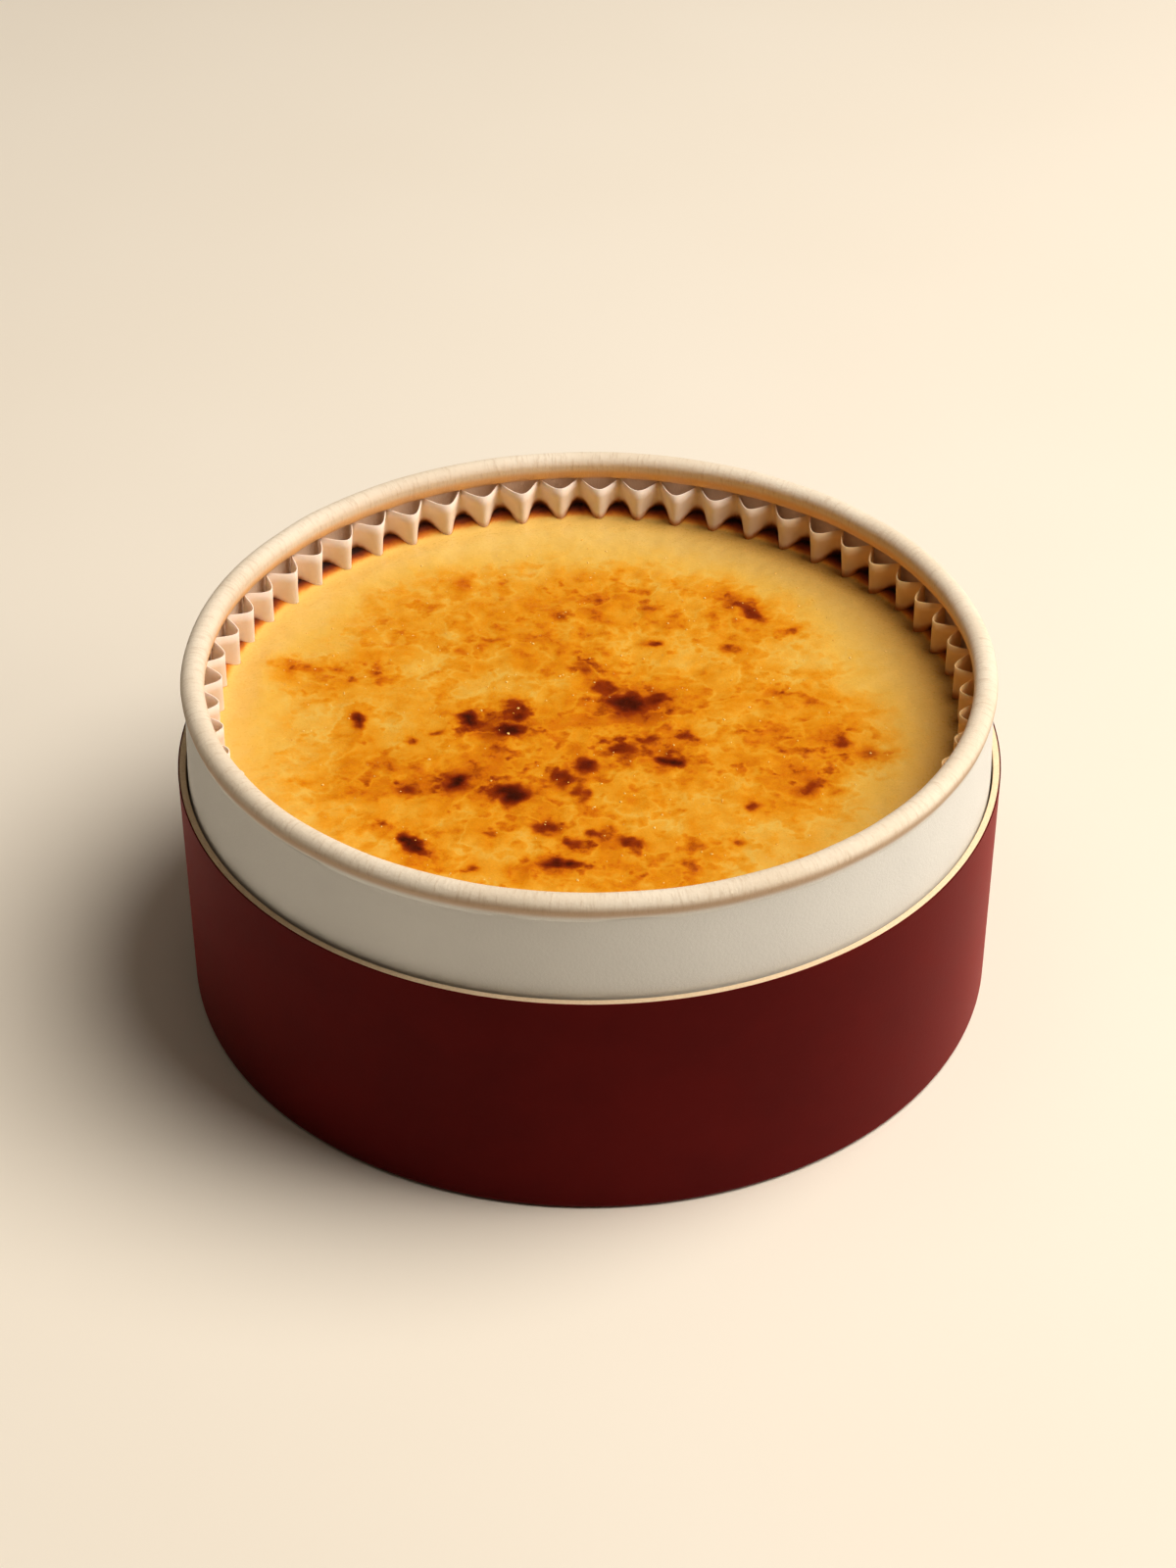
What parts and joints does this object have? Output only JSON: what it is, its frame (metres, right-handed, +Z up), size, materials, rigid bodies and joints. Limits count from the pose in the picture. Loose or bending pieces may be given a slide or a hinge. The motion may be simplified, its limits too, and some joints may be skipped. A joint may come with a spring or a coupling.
{
  "type": "cheesecake",
  "caption": "Round baked cheesecake with a browned, spotted top in a pleated paper case, held by a rolled-rim paper tub that stands in a wrapped board sleeve.",
  "frame": {"origin": "on the ground, under the middle of the round base", "axes": "+Z up along the round parts' axis; +Y points away from the side that the picture shows"},
  "size_m": [0.16, 0.16, 0.0696],
  "materials": {
    "wrapped_board": "burgundy satin wrap paper over board with a pale cut edge",
    "tub_paper": "matt off-white paper, warmer on the rolled rim",
    "case_paper": "thin unbleached baking paper, pleated",
    "cake": "baked custard skin, satin, amber with burnt spots"
  },
  "bodies": {
    "root": {"outer_sleeve": "wrapped_board", "inner_tub": "tub_paper", "paper_case": "case_paper", "cheesecake": "cake"}
  },
  "joints": []
}
